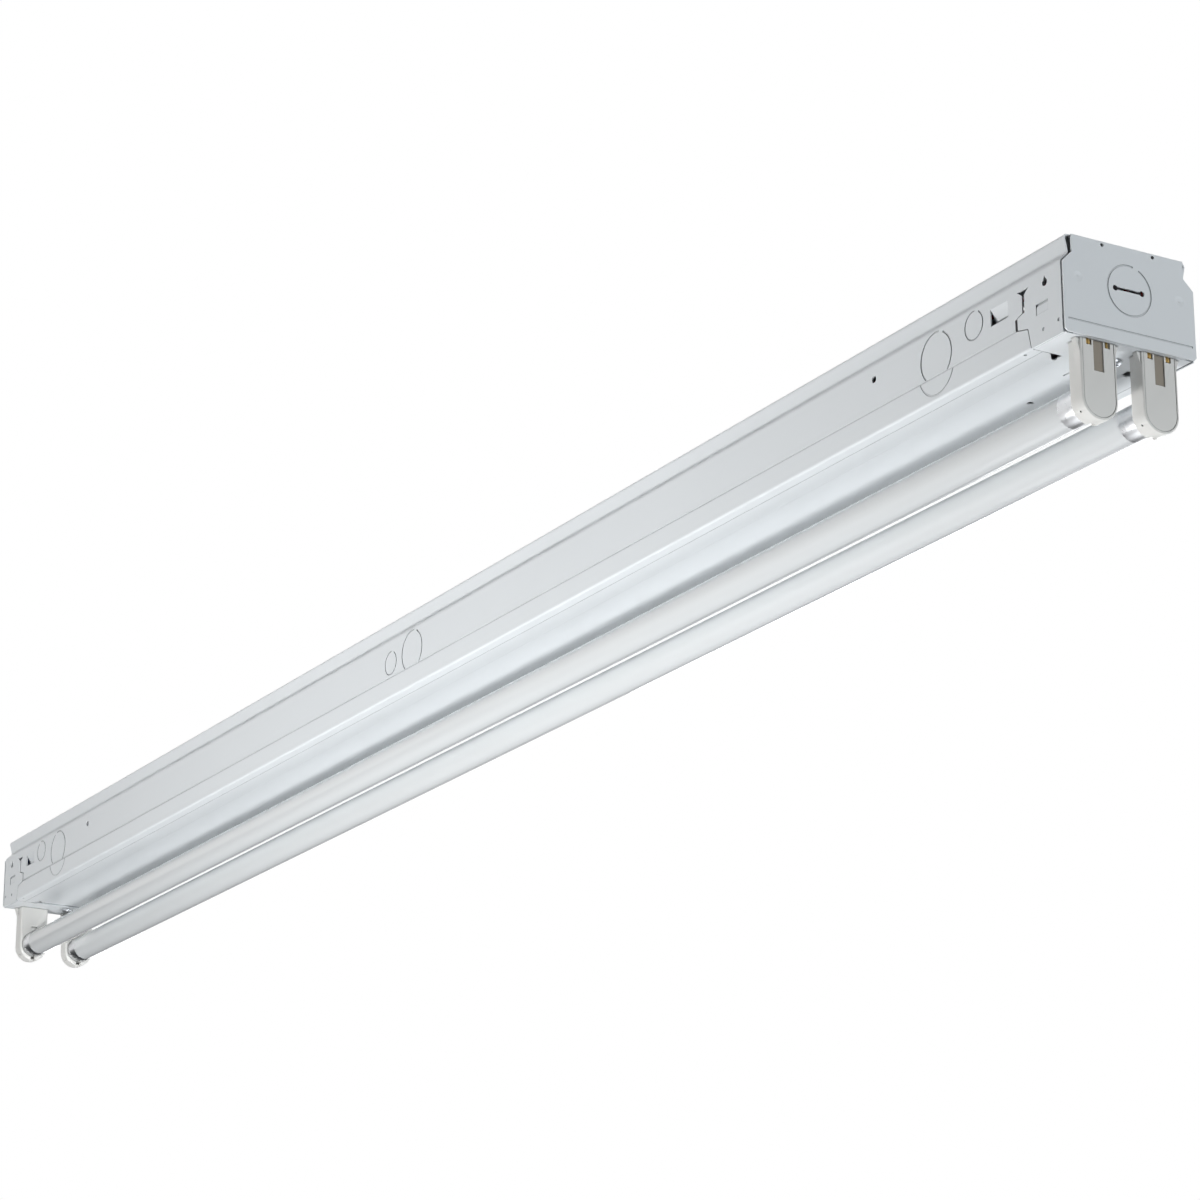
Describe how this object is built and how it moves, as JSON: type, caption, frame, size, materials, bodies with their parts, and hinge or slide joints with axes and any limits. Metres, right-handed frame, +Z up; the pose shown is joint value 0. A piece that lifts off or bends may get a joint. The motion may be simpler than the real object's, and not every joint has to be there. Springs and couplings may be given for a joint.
{
  "type": "two-lamp fluorescent strip light",
  "caption": "Narrow white steel strip light with two bare fluorescent tubes in rotary-lock lampholders, a clip-on wireway cover and a ballast inside.",
  "frame": {"origin": "centre of the top face, which lies against a ceiling or faces up when hung", "axes": "+X along the lamps towards the end with the small hole in the cover, +Z up out of the top face, -Y the front side"},
  "size_m": [1.172, 0.0698, 0.0843],
  "materials": {
    "white_enamel": "smooth baked white enamel, low sheen",
    "bracket_enamel": "baked white enamel",
    "holder_plastic": "warm white moulded plastic",
    "holder_back_plastic": "warm white moulded plastic",
    "rotor_plastic": "white moulded plastic",
    "spring_brass": "bare spring brass",
    "coated_glass": "glass with an opaque white coating inside",
    "cap_aluminium": "drawn and rolled, satin",
    "disc_phenolic": "tan laminate",
    "pin_brass": "drawn brass",
    "ballast_steel": "galvanised sheet",
    "ballast_enamel": "light grey enamel",
    "potting": "cast resin",
    "zinc_steel": "bright zinc plate",
    "green_steel": "green dyed zinc plate",
    "green_insulation": "smooth insulation",
    "black_insulation": "smooth insulation",
    "blue_insulation": "smooth insulation",
    "red_insulation": "smooth insulation"
  },
  "bodies": {
    "root": {"channel": "white_enamel", "cover": "white_enamel", "bracket_left": "bracket_enamel", "bracket_right": "bracket_enamel", "ballast_base": "ballast_steel", "ballast_can": "ballast_enamel", "ballast_filling": "potting", "ballast_screws": "zinc_steel", "cover_screws": "zinc_steel", "ground_screw": "green_steel", "ground_lead": "green_insulation", "supply_leads": "black_insulation", "lamp_leads_left": "blue_insulation", "lamp_leads_right": "red_insulation", "holder_left_front": "holder_plastic", "holder_back_left_front": "holder_back_plastic", "contacts_left_front": "spring_brass", "holder_left_rear": "holder_plastic", "holder_back_left_rear": "holder_back_plastic", "contacts_left_rear": "spring_brass", "holder_right_front": "holder_plastic", "holder_back_right_front": "holder_back_plastic", "contacts_right_front": "spring_brass", "holder_right_rear": "holder_plastic", "holder_back_right_rear": "holder_back_plastic", "contacts_right_rear": "spring_brass"},
    "lamp_front": {"lamp_tube_front": "coated_glass", "lamp_caps_front": "cap_aluminium", "cap_discs_front": "disc_phenolic", "lamp_pins_front": "pin_brass"},
    "rotor_left_front": {"rotor_left_front": "rotor_plastic"},
    "rotor_right_front": {"rotor_right_front": "rotor_plastic"},
    "lamp_rear": {"lamp_tube_rear": "coated_glass", "lamp_caps_rear": "cap_aluminium", "cap_discs_rear": "disc_phenolic", "lamp_pins_rear": "pin_brass"},
    "rotor_left_rear": {"rotor_left_rear": "rotor_plastic"},
    "rotor_right_rear": {"rotor_right_rear": "rotor_plastic"}
  },
  "joints": [
    {"name": "lamp_front_turn", "type": "hinge", "parent": "root", "child": "lamp_front", "pos_m": [0, -0.01625, -0.0708], "axis": [1, 0, 0], "range_deg": [0, 90]},
    {"name": "rotor_left_front_turn", "type": "hinge", "parent": "root", "child": "rotor_left_front", "pos_m": [-0.5777, -0.01625, -0.0708], "axis": [1, 0, 0], "range_deg": [0, 90]},
    {"name": "rotor_right_front_turn", "type": "hinge", "parent": "root", "child": "rotor_right_front", "pos_m": [0.5777, -0.01625, -0.0708], "axis": [1, 0, 0], "range_deg": [0, 90]},
    {"name": "lamp_rear_turn", "type": "hinge", "parent": "root", "child": "lamp_rear", "pos_m": [0, 0.01625, -0.0708], "axis": [1, 0, 0], "range_deg": [0, 90]},
    {"name": "rotor_left_rear_turn", "type": "hinge", "parent": "root", "child": "rotor_left_rear", "pos_m": [-0.5777, 0.01625, -0.0708], "axis": [1, 0, 0], "range_deg": [0, 90]},
    {"name": "rotor_right_rear_turn", "type": "hinge", "parent": "root", "child": "rotor_right_rear", "pos_m": [0.5777, 0.01625, -0.0708], "axis": [1, 0, 0], "range_deg": [0, 90]}
  ],
  "couplings": [
    {"joint": "rotor_left_front_turn", "follows": "lamp_front_turn", "ratio": 1},
    {"joint": "rotor_right_front_turn", "follows": "lamp_front_turn", "ratio": 1},
    {"joint": "rotor_left_rear_turn", "follows": "lamp_rear_turn", "ratio": 1},
    {"joint": "rotor_right_rear_turn", "follows": "lamp_rear_turn", "ratio": 1}
  ]
}
